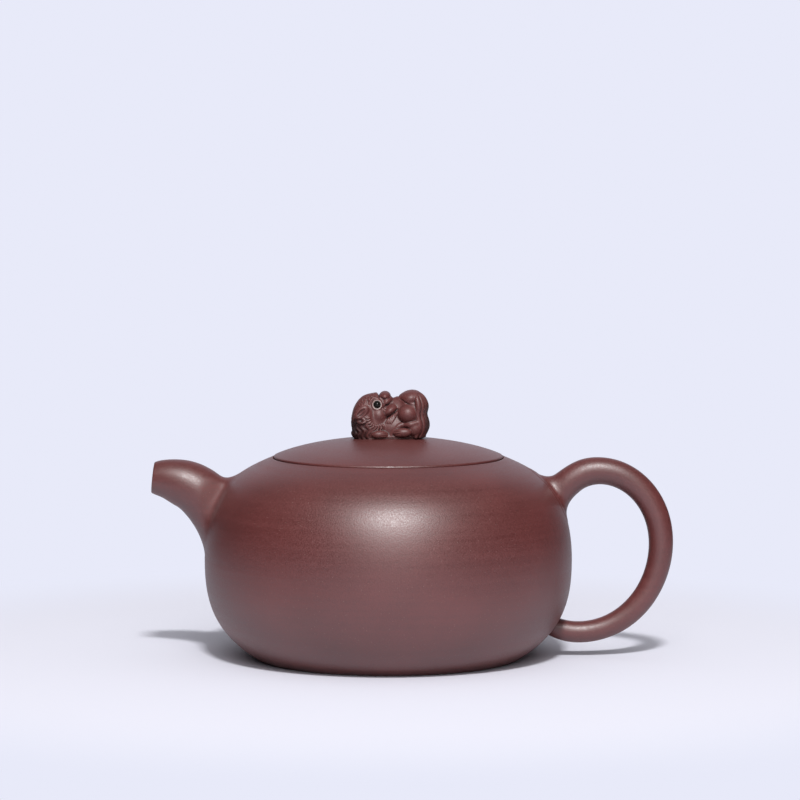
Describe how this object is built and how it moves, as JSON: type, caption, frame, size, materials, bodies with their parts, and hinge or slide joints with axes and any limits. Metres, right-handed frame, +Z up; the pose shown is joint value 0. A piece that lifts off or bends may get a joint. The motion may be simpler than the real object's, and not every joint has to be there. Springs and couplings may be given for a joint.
{
  "type": "clay teapot",
  "caption": "Squat round unglazed clay teapot with a short curved spout, a loop handle and a flush lift-off lid with a recumbent beast as its knob, for brewing and pouring tea.",
  "frame": {"origin": "centre of the foot ring, on the pot's axis, in the plane the pot stands on", "axes": "+Z up along the pot's axis, +X towards the handle, so the spout points to -X and -Y is the pictured side"},
  "size_m": [0.1457, 0.1026, 0.0749],
  "materials": {
    "purple_clay": "unglazed, burnished, fine sandy grain",
    "figure_clay": "unglazed, hand modelled and tooled",
    "black_eye_clay": "black slip, smooth"
  },
  "bodies": {
    "pot": {"base_disc": "purple_clay", "body_wall": "purple_clay", "shoulder_disc": "purple_clay", "mouth_collar": "purple_clay", "spout": "purple_clay", "strainer": "purple_clay", "handle": "purple_clay"},
    "lid": {"lid_disc": "purple_clay", "lid_flange": "purple_clay", "beast_body": "figure_clay", "beast_head": "figure_clay", "beast_mane": "figure_clay", "beast_muzzle": "figure_clay", "beast_nose": "figure_clay", "beast_jaw": "figure_clay", "beast_tail": "figure_clay", "beast_ear_left": "figure_clay", "beast_haunch_left": "figure_clay", "beast_hind_foot_left": "figure_clay", "beast_hock_left": "figure_clay", "beast_forepaw_left": "figure_clay", "beast_ear_right": "figure_clay", "beast_haunch_right": "figure_clay", "beast_hind_foot_right": "figure_clay", "beast_hock_right": "figure_clay", "beast_forepaw_right": "figure_clay", "beast_eye_left": "black_eye_clay", "beast_eye_right": "black_eye_clay"}
  },
  "joints": [
    {"name": "lid_lift", "type": "slide", "parent": "pot", "child": "lid", "axis": [0, 0, 1], "range_m": [0, 0.08]}
  ]
}
